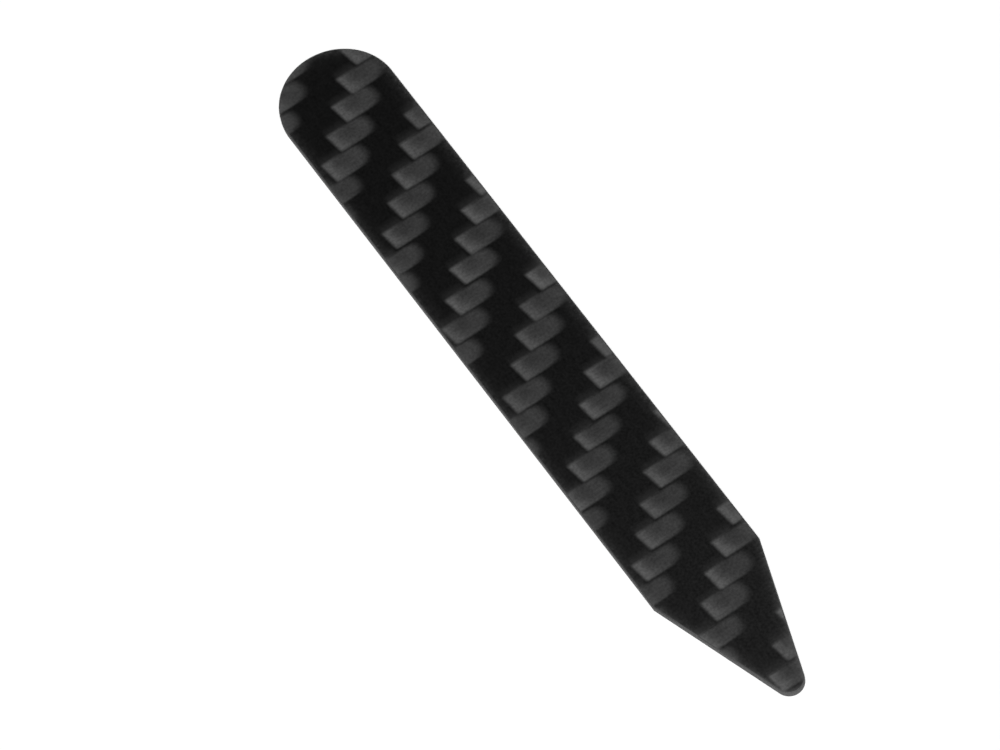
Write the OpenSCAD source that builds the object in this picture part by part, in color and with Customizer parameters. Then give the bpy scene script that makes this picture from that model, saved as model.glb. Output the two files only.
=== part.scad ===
// Collar stay: a flat, stiff blade that slides point first into the pocket under a shirt collar.
// It is cut from one pressed carbon-fibre twill laminate, and a small bevel breaks its edges.
// The origin lies under the middle of the blade, on its lower face. +X runs from the round head
// to the point, +Y across the width and +Z up through the thickness.

/* [Blade] */
// Length from the round head to the tip
length = 69.85; // [45:0.05:90]
// Width between the straight sides, which is also the head's diameter
width = 10; // [7:0.1:14]
// Thickness of the pressed laminate
thickness = 0.7; // [0.4:0.05:1.4]

/* [Point] */
// Length of the point, from its shoulders to the tip
point_length = 12.47; // [9:0.01:20]
// Radius of the round tip
tip_r = 1.23; // [0.6:0.01:2]

/* [Edges] */
// Height and depth of the bevel along every edge
edge_break = 0.1; // [0.02:0.01:0.18]

/* [Hidden] */

$fn = 96;

// Centres of the round head and the round tip, and the shoulders where the point starts
head_x = -length / 2 + width / 2;
tip_x = length / 2 - tip_r;
shoulder_x = length / 2 - point_length;

// Each flank of the point runs from its shoulder along the tangent to the round tip
shoulder_to_tip = norm([tip_x - shoulder_x, width / 2]);
flank_angle = atan2(width / 2, tip_x - shoulder_x) - asin(tip_r / shoulder_to_tip);

// Section of the laminate, from a plain side out to one bevelled edge
module edge_section(side, edge) {
  polygon([
    [side, 0],
    [edge - edge_break, 0],
    [edge, edge_break],
    [edge, thickness - edge_break],
    [edge - edge_break, thickness],
    [side, thickness]
  ]);
}

// Round end: a disc with a bevelled edge
module round_end(r) {
  rotate_extrude()
    edge_section(0, r);
}

// Strip along +X, as long as the blade, with its bevelled edge at +Y
module strip(side, edge) {
  rotate([90, 0, 90])
    linear_extrude(length)
      edge_section(side, edge);
}

// Half of the blade between the round ends: one straight side, cut off by the flank of the point.
// The flank's strip stops square to the flank, at the centre of the round tip.
module half_blade() {
  intersection() {
    translate([head_x, 0, 0])
      strip(0, width / 2);
    translate([tip_x, 0, 0])
      rotate([0, 0, -flank_angle])
        translate([-length, 0, 0])
          strip(-length, tip_r);
  }
}

module collar_stay() {
  color("#26282b")
    union() {
      translate([head_x, 0, 0])
        round_end(width / 2);
      translate([tip_x, 0, 0])
        round_end(tip_r);
      half_blade();
      mirror([0, 1, 0])
        half_blade();
    }
}

collar_stay();
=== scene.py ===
"""Dresses the collar stay: one blade of pressed carbon-fibre twill that lies on a pale floor.

Sizes and patterns are in millimetres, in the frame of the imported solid: X from the round head
to the point, Y across the width, Z up from the lower face. Blender's own lengths are metres.
"""
from math import asin, atan2, cos, hypot, pi, radians, sin, tan

import bmesh
import bpy
import numpy as np
from mathutils import Matrix, Vector


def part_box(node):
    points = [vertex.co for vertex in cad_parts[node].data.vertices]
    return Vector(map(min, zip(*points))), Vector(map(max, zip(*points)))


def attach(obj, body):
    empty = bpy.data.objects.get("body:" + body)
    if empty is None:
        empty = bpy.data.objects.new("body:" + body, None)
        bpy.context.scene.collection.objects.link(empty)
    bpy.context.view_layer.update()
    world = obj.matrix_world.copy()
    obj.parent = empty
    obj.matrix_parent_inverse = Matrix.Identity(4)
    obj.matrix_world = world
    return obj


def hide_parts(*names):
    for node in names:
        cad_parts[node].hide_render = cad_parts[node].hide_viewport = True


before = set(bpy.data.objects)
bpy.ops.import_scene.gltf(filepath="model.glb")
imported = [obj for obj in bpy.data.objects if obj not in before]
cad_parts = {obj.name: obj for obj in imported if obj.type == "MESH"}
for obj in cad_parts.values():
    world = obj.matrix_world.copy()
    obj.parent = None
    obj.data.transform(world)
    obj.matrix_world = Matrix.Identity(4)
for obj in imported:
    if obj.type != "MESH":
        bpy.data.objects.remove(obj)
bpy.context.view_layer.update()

MM = 0.001

# The blade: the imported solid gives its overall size, and these are the sizes inside that
low, high = (np.array(corner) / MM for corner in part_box("collar_stay"))
LENGTH, WIDTH, THICKNESS = high - low
HEAD_END, TIP_END = low[0], high[0]
POINT_LENGTH = 12.47
TIP_RADIUS = 1.23
EDGE_BREAK = 0.1

HEAD_X = HEAD_END + WIDTH / 2
TIP_X = TIP_END - TIP_RADIUS
SHOULDER_X = TIP_END - POINT_LENGTH
SHOULDER_TO_TIP = hypot(TIP_X - SHOULDER_X, WIDTH / 2)
FLANK_ANGLE = atan2(WIDTH / 2, TIP_X - SHOULDER_X) - asin(TIP_RADIUS / SHOULDER_TO_TIP)

# The cloth: weft tows run along Y, and warp tows along X but for a small slant. A weft float's
# corner lies at the weave's start, each tow takes one pitch, and the pattern repeats every four.
WEFT_PITCH = 2.013
WARP_PITCH = 2.019
WARP_SLANT = radians(5.39)
WEAVE_START = (-31.848, 0.97)
REPEAT = 4
FLOAT_LENGTH = 2
PLIES = 3
PRINT_THROUGH = 0.012

# The cloth's unevenness. The warp wanders by this share of a pitch, in a wave of this length
# with a crest here. Each float has its own start, sharp side, soft side, tone and gleam: here is
# how far each of them spreads in all, and which draw of random numbers it takes.
WANDER = 0.06
WANDER_LENGTH = 23
WANDER_CREST = -27
UNEVEN = {
    "start": (0.15, 25),
    "side": (0.07, 71),
    "soft": (0.12, 81),
    "tone": (0.24, 24),
    "gleam": (0.48, 80),
}

# A float's cell of the pattern begins this many pitches before the float, so that the whole of
# its soft start lies inside the cell
LEAD = 1.3

# Where a weft float shows. A step is the way along it in pitches, and across is the way over its
# tow, from 0 to 1. Of a pair, nothing shows at the first place and all of it at the second.
FLOAT_BEGINS = (-0.157, 0.033)
BEGIN_SLANT = 0.06
SHARP_SIDE = (0.985, 0.86)

# The soft side may reach no further out than this by chance, and reaches a little further out
# over these first steps of the float
SOFT_SIDE = (-0.105, 0.09)
SOFT_SIDE_LEAST = -0.04
SOFT_SIDE_REACH = 0.02
REACHING_STEPS = (1, 0.5)

# The float's end is halfway through its fade at this step, and fades over this many pitches to
# either side. Away from this middle of the tow it bends back, and its fade is wider, both with
# the third power of the distance.
FLOAT_ENDS = 1.66
END_FADE = 0.25
END_SLANT = 0.02
END_MIDDLE = 0.37
END_BEND = 2.8
END_FADE_BEND = 1.5

# The painted sheen of a weft float: its body, a crown on its second half, a lighter sharp side,
# and the painted gleam of its start, which spreads along the float by this many pitches
BODY_SHEEN = 0.355
SIDE_SHEEN = 0.055
SIDE_ACROSS = (0.3, 0.6)
CROWN_SHEEN = 0.095
CROWN_STEPS = (0.75, 1.25)
CROWN_ACROSS = (0.7, 0.3)
GLEAM_TONE = 0.6
GLEAM_STEP = 0.085
GLEAM_ACROSS = (1.035, 0.755)
GLEAM_SPREAD = 0.345

# The gleam spreads further beyond one place across the tow and below another, by so many pitches
# for each pitch of the way
WIDER_BEYOND = 0.43
WIDER_BEYOND_BY = 0.75
WIDER_BELOW = 0.1
WIDER_BELOW_BY = 1.2

# The dark warp tows: their tone at the head and how much a painted reflection adds to it by the
# tip, how much of it the floats hide, and the painted highlight where a tow dives under the next
# float, from this place across
DARK_TONE = 0.058
DARK_REFLECTION_GAIN = 0.095
HIDDEN_BY_FLOATS = 0.4
DIVE_HIGHLIGHT_TONE = 0.34
DIVE_HIGHLIGHT_ACROSS = 0.55
DIVE_BEGINS = (-0.15, 0.1)
DIVE_ENDS = (1, 0.75)

# The grain of the tows, as layers of noise with a scale along X, one along Y and a strength: a
# coarse and a fine layer drawn out along the fibres of each kind of tow, and one even layer
WEFT_FIBRES = ((3.2, 1, 0.44), (14, 1.5, 0.2))
WARP_FIBRES = ((1, 2.3, 0.65), (1.5, 9, 0.2))
GRAIN_SCALE = 4.5
WEFT_GRAIN = 0.7
WARP_GRAIN = 1.4

# The lightening along the edges of the faces, partly a painted highlight and partly wear: how far
# inward it fades, its tone and its noise, how much it gains for each millimetre in +Y as painted
# light, and its specks, which show where their noise is high
EDGE_FADE = 0.33
EDGE_SHEEN_AND_WEAR = 0.34
WEAR_NOISE = 0.7
WEAR_SCALE = 2.5
EDGE_HIGHLIGHT_LEAN = 0.035
SPECK_TONE = 0.5
SPECK_SCALE = 6
SPECK_NOISE = (0.1, 0.28)

# The painted highlight along the rim of the point: how far inward it fades, its tone, and the
# share of it that goes missing on the +Y side, from the first to the second of these places
RIM_FADE = 0.11
RIM_HIGHLIGHT = 0.7
RIM_MISSING = 0.5
RIM_MISSING_Y = (-0.2, 1.2)

# A tone of 1 on a face is this grey, and tones beyond the limit stay at it
FACE_GREY = 0.072
TONE_LIMIT = 2

# The cut edge: greys at a tone of 0 and 1, the tone of the weft tows' ends, what a ply's band and
# the grain add to it, how far in plies the band swings and where it fades, how much painted shade
# the rounds take away from the tone at the head, and how much lighter the edge grows at the tip
CUT_GREYS = (0.02, 0.125)
CUT_TONE = 0.4
BAND_TONE = 0.25
BAND_SWING = 0.22
BAND_FADES = (0.27, 0.17)
CUT_GRAIN = 0.5
CUT_GRAIN_SCALE = (7, 16)
ROUNDS_SHADE = 0.4
TIP_LIGHTER = 0.08

# The mesh: stations along each stretch of the outline, steps round a section, and how near to
# each other points have to be to be welded
HEAD_STEPS = 46
SIDE_STEPS = 330
FLANK_STEPS = 74
TIP_STEPS = 14
FACE_STEPS = 62
BREAK_STEPS = 4
WALL_STEPS = 3
WELD_DISTANCE = 1e-4

# The camera: it looks at a point of the lower face's plane, from this side and height
CAMERA_TARGET = (-1.909, -3.202, 0)
CAMERA_AZIMUTH = radians(68.07)
CAMERA_ELEVATION = radians(62.22)
CAMERA_ROLL = radians(-13.28)
CAMERA_DISTANCE = 582.4
CAMERA_LENS = 265.3
CAMERA_CLIP = 10
SENSOR_WIDTH = 36

KEY_STRENGTH = 3.8
KEY_ANGLE = radians(12)

# The sky: its greys at the horizon and overhead, and how high the second begins, where straight
# up is 1
HORIZON_GREY = 0.2
OVERHEAD_GREY = 0.015
OVERHEAD_FROM = 0.7

# The floor: a square that lies a hair under the blade
FLOOR_REACH = 4000
FLOOR_DROP = 0.01
FLOOR_GREY = 0.92
FLOOR_ROUGHNESS = 0.9


# Shape of the blade


def edge_stations(depth):
    """The +Y edge in plan, moved inward by a depth, from the head's end to the tip's end.

    It is a quarter circle round the head's centre, a straight side, the flank, which is tangent
    to the tip's circle, and the rest of that circle. Stations keep their share of each stretch,
    so those of two depths face each other.
    """
    head_r = WIDTH / 2 - depth
    tip_r = TIP_RADIUS - depth
    shoulder_x = TIP_X + (tip_r - head_r * cos(FLANK_ANGLE)) / sin(FLANK_ANGLE)
    foot = np.array([TIP_X + tip_r * sin(FLANK_ANGLE), tip_r * cos(FLANK_ANGLE)])
    shoulder = np.array([shoulder_x, head_r])

    head_turn = np.linspace(0, pi / 2, HEAD_STEPS, endpoint=False)
    head = np.stack([HEAD_X - head_r * np.cos(head_turn), head_r * np.sin(head_turn)], axis=1)
    along = np.linspace(0, 1, SIDE_STEPS, endpoint=False)[:, None]
    side = np.array([HEAD_X, head_r]) * (1 - along) + shoulder * along
    down = np.linspace(0, 1, FLANK_STEPS, endpoint=False)[:, None]
    flank = shoulder * (1 - down) + foot * down
    tip_turn = np.linspace(FLANK_ANGLE, pi / 2, TIP_STEPS)
    tip = np.stack([TIP_X + tip_r * np.sin(tip_turn), tip_r * np.cos(tip_turn)], axis=1)
    return np.concatenate([head, side, flank, tip])


def section():
    """One turn round the blade's section, as arrays of side, depth and height.

    Side goes from -1 to 1 across the upper face, stays at 1 down the +Y edge, comes back over
    the lower face and stays at -1 up the -Y edge. An edge is a quarter round, a wall and a
    quarter round.
    """
    turn = np.linspace(0, pi / 2, BREAK_STEPS + 1)
    round_depth = EDGE_BREAK * (1 - np.sin(turn))
    round_height = THICKNESS - EDGE_BREAK * (1 - np.cos(turn))
    wall_height = np.linspace(THICKNESS - EDGE_BREAK, EDGE_BREAK, WALL_STEPS + 1)[1:-1]
    edge_depth = np.concatenate([round_depth, wall_height * 0, round_depth[::-1]])
    edge_height = np.concatenate([round_height, wall_height, THICKNESS - round_height[::-1]])
    across = np.linspace(-1, 1, FACE_STEPS + 1)[1:-1]
    face_depth = np.full(across.shape, EDGE_BREAK)
    side = np.concatenate([across, edge_depth * 0 + 1, across[::-1], edge_depth * 0 - 1])
    depth = np.concatenate([face_depth, edge_depth, face_depth, edge_depth])
    height = np.concatenate(
        [across * 0 + THICKNESS, edge_height, across * 0, edge_height[::-1]]
    )
    return side, depth, height


def weave_dip(x, y):
    """How far the pressed face lies under its highest level at a point, in millimetres.

    Each float is a low crown, twice its pitch long, that falls to its sides with the fourth
    power of the distance from its mid-line, and to its ends with the sixth.
    """
    weft = (x - WEAVE_START[0]) / WEFT_PITCH
    warp = (y - WEAVE_START[1] - (x - WEAVE_START[0]) * tan(WARP_SLANT)) / WARP_PITCH
    warp = warp - WANDER * np.cos((x - WANDER_CREST) * 2 * pi / WANDER_LENGTH)
    step = (warp + np.floor(weft)) % REPEAT
    on_weft = step < FLOAT_LENGTH
    along = np.where(on_weft, step, weft % 1 + np.floor(step) - FLOAT_LENGTH) - 1
    across = 2 * np.where(on_weft, weft % 1, step % 1) - 1
    return PRINT_THROUGH * (1 - (1 - across**4) * (1 - along**6))


def make_blade():
    """The blade as one closed mesh: the section carried along the stations of the outline.

    A point's x and y are those of its station at its depth inside the edge, with y times its
    side. The dips of the weave make the blade thinner by the same share on both faces.
    """
    side, depth, height = section()
    depths, place = np.unique(depth, return_inverse=True)
    stations = np.stack([edge_stations(d) for d in depths], axis=1)[:, place]
    x = stations[..., 0]
    y = stations[..., 1] * side
    middle = THICKNESS / 2
    z = middle + (height - middle) * (1 - weave_dip(x, y) / middle)

    rows, columns = x.shape
    row = np.arange(rows - 1)[:, None]
    column = np.arange(columns)[None, :]
    after = (column + 1) % columns
    corners = [row * columns + column, (row + 1) * columns + column,
               (row + 1) * columns + after, row * columns + after]
    quads = np.stack([np.broadcast_to(c, (rows - 1, columns)) for c in corners], axis=-1)
    on_edge = np.abs(side) + np.abs(side[after[0]]) == 2

    mesh = bpy.data.meshes.new("collar_stay_blade")
    points = np.stack([x, y, z], axis=-1).reshape(-1, 3) * MM
    mesh.from_pydata(points.tolist(), [], quads.reshape(-1, 4).tolist())
    mesh.polygons.foreach_set("material_index", np.tile(on_edge, rows - 1).astype(np.int32))
    mesh.polygons.foreach_set("use_smooth", np.ones(len(mesh.polygons), bool))

    # At the two ends of the outline all the points of a height meet
    welded = bmesh.new()
    welded.from_mesh(mesh)
    bmesh.ops.remove_doubles(welded, verts=welded.verts, dist=WELD_DISTANCE * MM)
    welded.to_mesh(mesh)
    welded.free()

    blade = bpy.data.objects.new("blade", mesh)
    bpy.context.collection.objects.link(blade)
    return blade


# Materials


class Socket:
    """An output of a node. Arithmetic on it adds Math nodes to its tree."""

    def __init__(self, output):
        self.output = output
        self.tree = output.id_data

    def node(self, kind, settings=None, inputs=None, output=0):
        """Adds a node of a kind to the same tree and gives one of its outputs."""
        return Socket(add_node(self.tree, kind, settings, inputs).outputs[output])

    def maths(self, operation, *values):
        return self.node("ShaderNodeMath", {"operation": operation}, dict(enumerate(values)))

    def __add__(self, other):
        return self.maths("ADD", self, other)

    def __radd__(self, other):
        return self.maths("ADD", other, self)

    def __sub__(self, other):
        return self.maths("SUBTRACT", self, other)

    def __rsub__(self, other):
        return self.maths("SUBTRACT", other, self)

    def __mul__(self, other):
        return self.maths("MULTIPLY", self, other)

    def __truediv__(self, other):
        return self.maths("DIVIDE", self, other)

    def __mod__(self, other):
        return self.maths("FLOORED_MODULO", self, other)

    def __pow__(self, other):
        return self.maths("POWER", self, other)

    def __abs__(self):
        return self.maths("ABSOLUTE", self)

    def floor(self):
        return self.maths("FLOOR", self)

    def cos(self):
        return self.maths("COSINE", self)

    def exp(self):
        return self.maths("EXPONENT", self)

    def at_least(self, other):
        return self.maths("MAXIMUM", self, other)

    def at_most(self, other):
        return self.maths("MINIMUM", self, other)

    def smooth(self, start, end):
        """0 at start, 1 at end and an S-curve between them, for an end on either side."""
        return self.node(
            "ShaderNodeMapRange",
            {"interpolation_type": "SMOOTHSTEP"},
            {"Value": self, "From Min": start, "From Max": end},
        )

    def bell(self):
        """1 at 0, a quarter at 1 and -1, and a long tail beyond."""
        return (self * self + 1) ** -2


def add_node(tree, kind, settings=None, inputs=None):
    """Adds a node, sets its properties, and sets or links its sockets."""
    node = tree.nodes.new(kind)
    for name, value in (settings or {}).items():
        setattr(node, name, value)
    for name, value in (inputs or {}).items():
        if isinstance(value, Socket):
            tree.links.new(value.output, node.inputs[name])
        else:
            node.inputs[name].default_value = value
    return node


def split(vector):
    """The three parts of a vector or a colour."""
    node = add_node(vector.tree, "ShaderNodeSeparateXYZ", inputs={"Vector": vector})
    return [Socket(output) for output in node.outputs]


def new_material(name):
    """An empty material, and the blade's own x, y and z in millimetres as sockets in it."""
    material = bpy.data.materials.new(name)
    material.use_nodes = True
    tree = material.node_tree
    tree.nodes.clear()
    place = Socket(add_node(tree, "ShaderNodeTexCoord").outputs["Object"])
    return material, [part / MM for part in split(place)]


def finish_material(material, inputs):
    """Ends a material in a Principled shader with the given sockets."""
    tree = material.node_tree
    shader = add_node(tree, "ShaderNodeBsdfPrincipled", inputs=inputs)
    output = add_node(tree, "ShaderNodeOutputMaterial")
    tree.links.new(shader.outputs["BSDF"], output.inputs["Surface"])
    return material


def grey(level):
    return (level, level, level, 1)


def shade(share, first, second):
    """A grey that goes from a first level to a second, at the share that a socket gives.

    A Mix node has an output for each type of data, and that of colours is its third.
    """
    return share.node(
        "ShaderNodeMix", {"data_type": "RGBA"},
        {"Factor": share, "A": grey(first), "B": grey(second)}, output=2,
    )


def noise(x, y, scale_x, scale_y):
    """Noise about 0, with its own scale along each of two sockets in millimetres."""
    place = x.node("ShaderNodeCombineXYZ", inputs={"X": x * scale_x, "Y": y * scale_y})
    level = x.node(
        "ShaderNodeTexNoise", {"noise_dimensions": "2D"},
        {"Vector": place, "Scale": 1, "Detail": 2},
    )
    return level - 0.5


def fibres(x, y, layers):
    """Streaks of noise about 0, from layers with a scale along x, one along y and a strength."""
    return sum(noise(x, y, scale_x, scale_y) * strength for scale_x, scale_y, strength in layers)


def uneven(kind, turn, column):
    """A random number about 0 that is a float's own, for one kind of unevenness."""
    spread, draw = UNEVEN[kind]
    row = (turn / REPEAT).floor()
    cell = turn.node("ShaderNodeCombineXYZ", inputs={"X": column, "Y": row, "Z": draw})
    chance = turn.node("ShaderNodeTexWhiteNoise", {"noise_dimensions": "3D"}, {"Vector": cell})
    return (chance - 0.5) * spread


def float_step(turn, column):
    """The step along a weft tow's float, in pitches: it starts near step 0 and ends near 2."""
    return turn % REPEAT - LEAD + uneven("start", turn, column)


def weave(x, y):
    """A point's place across its weft tow, from 0 to 1, and its turn and column in the cloth.

    The turn goes up by one for each warp tow in +Y and for each weft tow in +X, so the floats of
    a twill repeat with every fourth turn.
    """
    weft = (x - WEAVE_START[0]) / WEFT_PITCH
    column = weft.floor()
    slant = (x - WEAVE_START[0]) * tan(WARP_SLANT)
    wander = ((x - WANDER_CREST) * (2 * pi / WANDER_LENGTH)).cos() * WANDER
    turn = (y - WEAVE_START[1] - slant) / WARP_PITCH - wander + column + LEAD
    return weft - column, turn, column


def edge_nearness(x, y):
    """How near a point of a face is to the blade's edge: 1 on the edge, and less inward.

    The distance is the lesser of those to the head and sides and to the flank's line. That line
    passes the round tip by, so the end of the tip counts as further in.
    """
    beyond_head = (x - HEAD_X).at_most(0)
    round_head = WIDTH / 2 - (beyond_head * beyond_head + y * y) ** 0.5
    flank = TIP_RADIUS - ((x - TIP_X) * sin(FLANK_ANGLE) + abs(y) * cos(FLANK_ANGLE))
    return (round_head.at_most(flank) / -EDGE_FADE).exp()


def toward_tip(x):
    """0 from the head to the shoulders, and then up to 1 at the tip."""
    return (x - SHOULDER_X).at_least(0) / POINT_LENGTH


def rim_of_point(x, y):
    """1 on the outline of the point and its round tip, and quickly less inward.

    The depth is the tip's radius less the distance from the tip's centre. Behind the flank's
    foot only the part of that distance along the flank's normal counts.
    """
    ahead = ((x - TIP_X) * cos(FLANK_ANGLE) - abs(y) * sin(FLANK_ANGLE)).at_least(0)
    outward = ((x - TIP_X) * sin(FLANK_ANGLE) + abs(y) * cos(FLANK_ANGLE)).at_least(0)
    depth = TIP_RADIUS - (ahead * ahead + outward * outward) ** 0.5
    return (depth / -RIM_FADE).exp()


def float_shows(across, step, turn, column):
    """How much of a weft float shows at a place: its soft start, round end and two sides."""
    begins = (step - across * BEGIN_SLANT).smooth(*FLOAT_BEGINS)
    bend = abs(across - END_MIDDLE) ** 3
    past_end = step - FLOAT_ENDS - across * END_SLANT + bend * END_BEND
    ends = (past_end / (bend * END_FADE_BEND + END_FADE)).smooth(1, -1)
    reach = step.smooth(*REACHING_STEPS) * SOFT_SIDE_REACH
    soft_place = uneven("soft", turn, column).at_least(SOFT_SIDE_LEAST) - reach
    soft_side = (across - soft_place).smooth(*SOFT_SIDE)
    sharp_side = (across - uneven("side", turn, column)).smooth(*SHARP_SIDE)
    return begins * ends * soft_side * sharp_side


def weft_float(across, turn, column):
    """How much of a weft float shows at a place, and its painted sheen there.

    The painted sheen is brightest where the float rises from under a warp tow, levels off, and
    fades in a round end before it dives again. That painted highlight at the start grows longer
    towards the side that faces the point, which is sharp. Across runs from 0 to 1 over the float's
    own tow, and a little below 0 where its soft side reaches over the tow before.
    """
    step = float_step(turn, column)
    shows = float_shows(across, step, turn, column)

    # The painted highlight at the float's start, and how far along it spreads
    beyond = (across - WIDER_BEYOND).at_least(0) * WIDER_BEYOND_BY
    below = (WIDER_BELOW - across).at_least(0) * WIDER_BELOW_BY
    rise = ((step - GLEAM_STEP) / (beyond + below + GLEAM_SPREAD)).bell()
    gleam = rise * across.smooth(*GLEAM_ACROSS) * (1 + uneven("gleam", turn, column)) * GLEAM_TONE

    # Painted sheen: the float's body, its crown and its lighter sharp side
    crown = step.smooth(*CROWN_STEPS) * across.smooth(*CROWN_ACROSS) * CROWN_SHEEN
    level = crown + across.smooth(*SIDE_ACROSS) * SIDE_SHEEN + BODY_SHEEN
    body = level * (1 + uneven("tone", turn, column))
    return shows, shows * (body + gleam)


def dark_tow(x, fibre, bare):
    """The warp tows' tone, with a painted reflection that lightens it to the tip by the square of
    the way.
    """
    to_tip = (x - HEAD_END) / LENGTH
    return (to_tip * to_tip * DARK_REFLECTION_GAIN + DARK_TONE) * (1 + fibre) * bare


def wear_and_highlight(x, y):
    """A lighter edge with specks, partly painted highlight and partly rubbing, and a painted
    highlight on the point's rim.
    """
    # A lighter edge with specks: partly painted highlight, stronger towards +Y, and partly wear
    specks = noise(x, y, SPECK_SCALE, SPECK_SCALE).smooth(*SPECK_NOISE) * SPECK_TONE
    patches = noise(x, y, WEAR_SCALE, WEAR_SCALE) * WEAR_NOISE + EDGE_SHEEN_AND_WEAR
    edge = edge_nearness(x, y) * (1 + y * EDGE_HIGHLIGHT_LEAN) * (patches + specks)
    # A painted highlight along the rim of the point, weaker on the +Y side
    left = 1 - y.smooth(*RIM_MISSING_Y) * RIM_MISSING
    rim = rim_of_point(x, y) * toward_tip(x) * left * RIM_HIGHLIGHT
    return edge + rim


def woven_face():
    """Clear gloss resin over the twill: weft floats lit by painted sheen, on near-black warp tows.

    A dark gap follows the sharp side of each float. A painted highlight lies on a warp tow where
    it dives under the next float. A painted reflection lightens the dark tows towards the point.
    The face is lighter along its edge, with specks, partly painted highlight and partly rubbing,
    and a painted highlight lies along the rim of the point. Both kinds of tow are grained, with
    streaks of fibre along them.
    """
    material, (x, y, _) = new_material("woven_face")
    across, turn, column = weave(x, y)
    grain = noise(x, y, GRAIN_SCALE, GRAIN_SCALE)

    # The weft floats, lit by painted sheen, and grained along their fibres
    shows, tone = weft_float(across, turn, column)
    next_shows, next_tone = weft_float(across - 1, turn + 1, column + 1)
    floats = (tone + next_tone) * (1 + fibres(x, y, WEFT_FIBRES) + grain * WEFT_GRAIN)

    # A painted highlight where a warp tow dives under the next float
    next_step = float_step(turn + 1, column + 1)
    dives = next_step.smooth(*DIVE_BEGINS) * next_step.smooth(*DIVE_ENDS)
    dive_highlight = dives * (across - DIVE_HIGHLIGHT_ACROSS).at_least(0) * (1 - next_shows) * DIVE_HIGHLIGHT_TONE
    bare = 1 - (shows + next_shows) * HIDDEN_BY_FLOATS
    # The dark tows, with a painted reflection that lightens them towards the tip
    dark = dark_tow(x, fibres(x, y, WARP_FIBRES) + grain * WARP_GRAIN, bare)

    face_tone = floats + dive_highlight + dark + wear_and_highlight(x, y)
    relief = x.node(
        "ShaderNodeBump", inputs={"Strength": 0.25, "Distance": 0.02 * MM, "Height": face_tone},
    )
    return finish_material(material, {
        "Base Color": shade(face_tone / TONE_LIMIT, 0, FACE_GREY * TONE_LIMIT),
        "Roughness": 0.3,
        "Specular IOR Level": 0.2,
        "Normal": relief,
        "Coat Weight": 1,
        "Coat Roughness": 0.08,
    })


def cut_edge():
    """The machined edge: matt, with the plies' tows as bands that wave up and down.

    In each ply the warp tow's section swings about the ply's middle, over two weft tows and
    under two, and shows lighter than the cut ends of the weft tows above and below it. Painted
    shade darkens the rounds at the faces, but less so towards the tip, which is also a little
    lighter.
    """
    material, (x, y, z) = new_material("cut_edge")
    _, turn, column = weave(x, y)
    step = float_step(turn, column)
    in_ply = z / (THICKNESS / PLIES) % 1
    swing = ((step - 1) * (pi / 2)).cos() * BAND_SWING
    band = abs(in_ply - 0.5 + swing).smooth(*BAND_FADES)
    grain = noise(x + y, z, *CUT_GRAIN_SCALE)
    rounding = abs(z - THICKNESS / 2).smooth(THICKNESS / 2 - EDGE_BREAK, THICKNESS / 2)
    tipward = toward_tip(x)
    # Painted shade on the rounds at the faces, less of it towards the tip
    rounds_shade = rounding * (1 - tipward) * ROUNDS_SHADE
    tone = (CUT_TONE + band * BAND_TONE + grain * CUT_GRAIN) * (1 - rounds_shade) * (tipward * TIP_LIGHTER + 1)
    return finish_material(material, {
        "Base Color": shade(tone, *CUT_GREYS),
        "Roughness": 0.6,
        "Specular IOR Level": 0.2,
    })


# Studio


def make_floor():
    """A pale matt square, as scenery."""
    signs = [(-1, -1), (1, -1), (1, 1), (-1, 1)]
    corners = [Vector((a * FLOOR_REACH, b * FLOOR_REACH, -FLOOR_DROP)) * MM for a, b in signs]
    mesh = bpy.data.meshes.new("floor")
    mesh.from_pydata(corners, [], [(0, 1, 2, 3)])
    floor = bpy.data.objects.new("floor", mesh)
    bpy.context.collection.objects.link(floor)
    material = bpy.data.materials.new("pale_floor")
    material.use_nodes = True
    shader = material.node_tree.nodes["Principled BSDF"]
    shader.inputs["Base Color"].default_value = grey(FLOOR_GREY)
    shader.inputs["Roughness"].default_value = FLOOR_ROUGHNESS
    mesh.materials.append(material)


def make_world():
    """A studio that is pale near the floor and darkens overhead."""
    world = bpy.data.worlds.new("studio")
    bpy.context.scene.world = world
    world.use_nodes = True
    tree = world.node_tree
    tree.nodes.clear()
    _, _, up = split(Socket(add_node(tree, "ShaderNodeTexCoord").outputs["Generated"]))
    sky = shade(up.smooth(0, OVERHEAD_FROM), HORIZON_GREY, OVERHEAD_GREY)
    light = add_node(tree, "ShaderNodeBackground", inputs={"Color": sky})
    output = add_node(tree, "ShaderNodeOutputWorld")
    tree.links.new(light.outputs["Background"], output.inputs["Surface"])


def make_key():
    """A wide soft sun that shines from the camera's side, so that hardly a shadow shows."""
    lamp = bpy.data.lights.new("key", "SUN")
    lamp.energy = KEY_STRENGTH
    lamp.angle = KEY_ANGLE
    light = bpy.data.objects.new("key", lamp)
    light.matrix_world = bpy.context.scene.camera.matrix_world
    bpy.context.collection.objects.link(light)


def make_camera():
    """Stands at its azimuth, elevation and distance from its target, and rolls about its sight."""
    data = bpy.data.cameras.new("camera")
    data.lens = CAMERA_LENS
    data.sensor_width = SENSOR_WIDTH
    data.clip_start = CAMERA_CLIP * MM
    target = Matrix.Translation(Vector(CAMERA_TARGET) * MM)
    azimuth = Matrix.Rotation(CAMERA_AZIMUTH, 4, "Z")
    tilt = Matrix.Rotation(pi / 2 - CAMERA_ELEVATION, 4, "X")
    roll = Matrix.Rotation(CAMERA_ROLL, 4, "Z")
    away = Matrix.Translation((0, 0, CAMERA_DISTANCE * MM))
    camera = bpy.data.objects.new("camera", data)
    camera.matrix_world = target @ (azimuth @ tilt) @ roll @ away
    bpy.context.collection.objects.link(camera)
    bpy.context.scene.camera = camera


make_camera()
make_world()
make_floor()
make_key()
bpy.context.scene.view_settings.view_transform = "Standard"

blade = make_blade()
blade.data.materials.append(woven_face())
blade.data.materials.append(cut_edge())
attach(blade, "root")
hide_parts("collar_stay")
